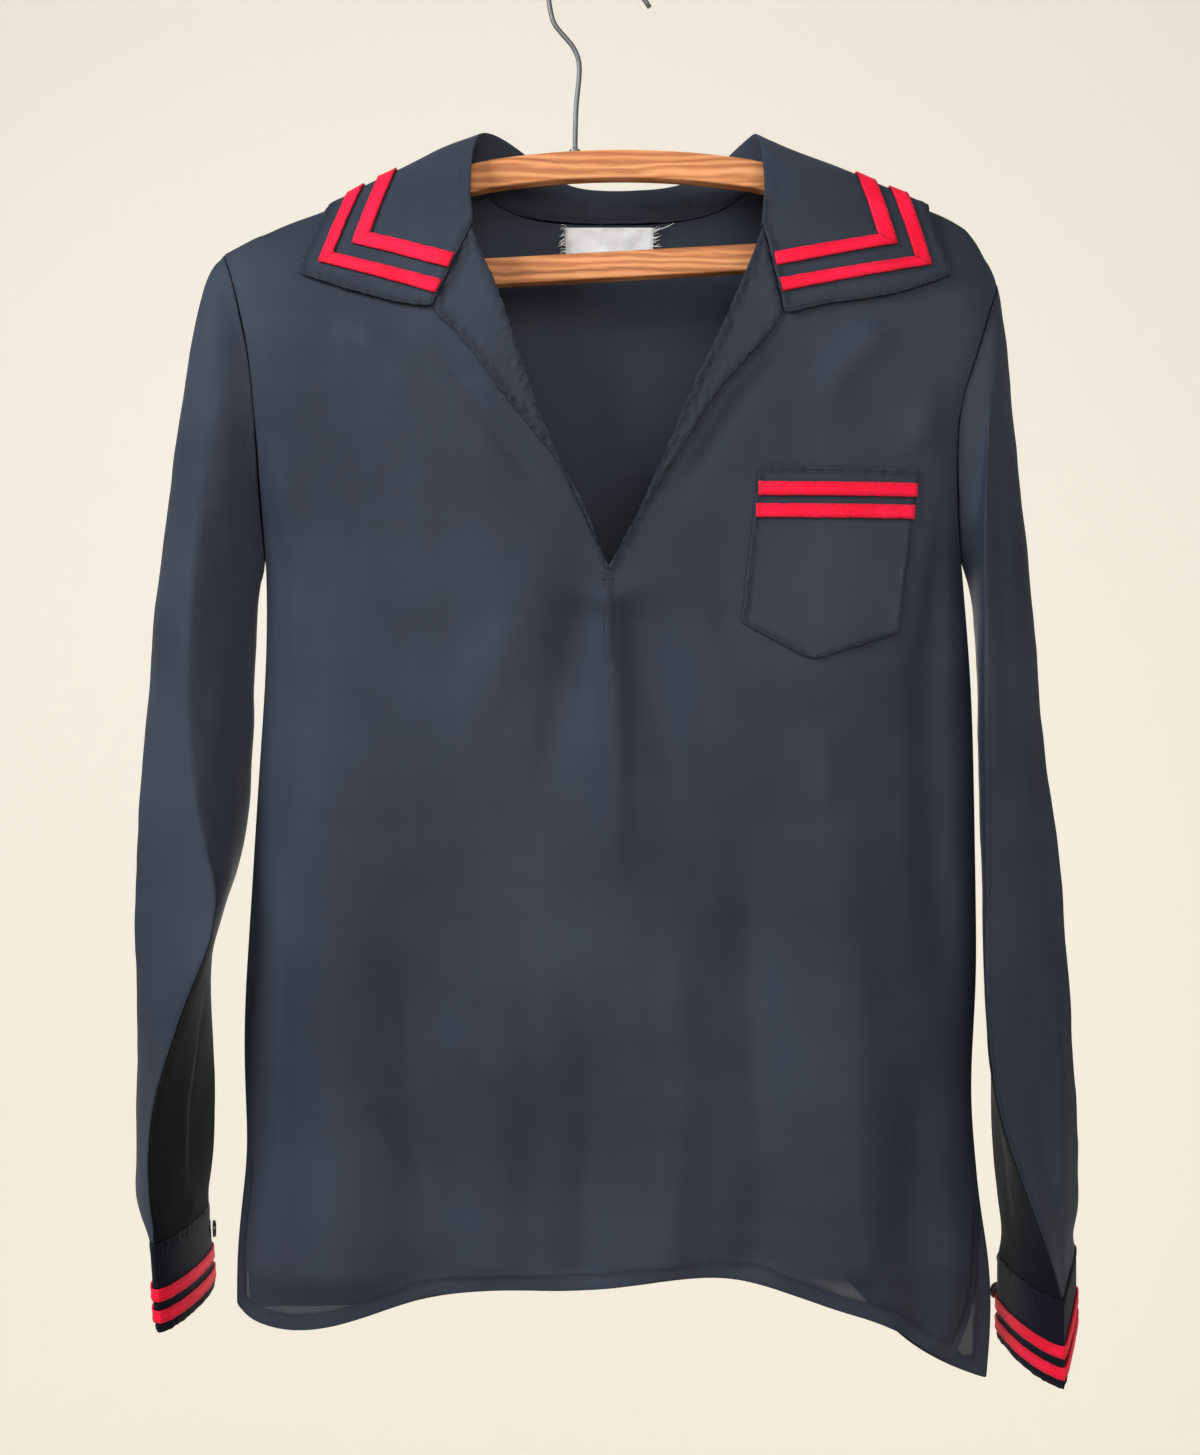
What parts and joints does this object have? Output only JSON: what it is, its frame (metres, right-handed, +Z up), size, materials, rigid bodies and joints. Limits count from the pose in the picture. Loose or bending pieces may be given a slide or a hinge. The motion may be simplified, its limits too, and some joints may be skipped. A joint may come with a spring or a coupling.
{
  "type": "sailor top on a wooden hanger",
  "caption": "Long-sleeved pullover sailor top with a wide collar, open V neck, chest pocket and taped trim, hanging on a wooden hanger with a wire hook.",
  "frame": {"origin": "inside of the crown of the hanger's hook, where a rod or a nail carries it", "axes": "+X to the viewer's right, the garment's front faces -Y, +Z up"},
  "size_m": [0.568, 0.1066, 0.8732],
  "materials": {
    "navy_cloth": "smooth, slightly sheer woven polyester with a soft sheen",
    "cuff_cloth": "the same cloth in two layers",
    "red_tape": "matt woven tape, edge-stitched",
    "label_satin": "satin weave",
    "button_plastic": "polished",
    "hanger_wood": "oiled softwood, worn edges",
    "hook_steel": "dull grey wire"
  },
  "bodies": {
    "root": {"front": "navy_cloth", "back": "navy_cloth", "sleeve_left": "navy_cloth", "sleeve_right": "navy_cloth", "collar": "navy_cloth", "rever_left": "navy_cloth", "rever_right": "navy_cloth", "pocket": "navy_cloth", "cuff_left": "cuff_cloth", "cuff_right": "cuff_cloth", "collar_tape_outer": "red_tape", "collar_tape_inner": "red_tape", "pocket_tape_upper": "red_tape", "pocket_tape_lower": "red_tape", "cuff_left_tape_upper": "red_tape", "cuff_left_tape_lower": "red_tape", "cuff_right_tape_upper": "red_tape", "cuff_right_tape_lower": "red_tape", "label": "label_satin", "button_left": "button_plastic", "button_right": "button_plastic", "hanger_arch": "hanger_wood", "hanger_bar": "hanger_wood", "hanger_hook": "hook_steel", "hanger_ferrule": "hook_steel"}
  },
  "joints": []
}
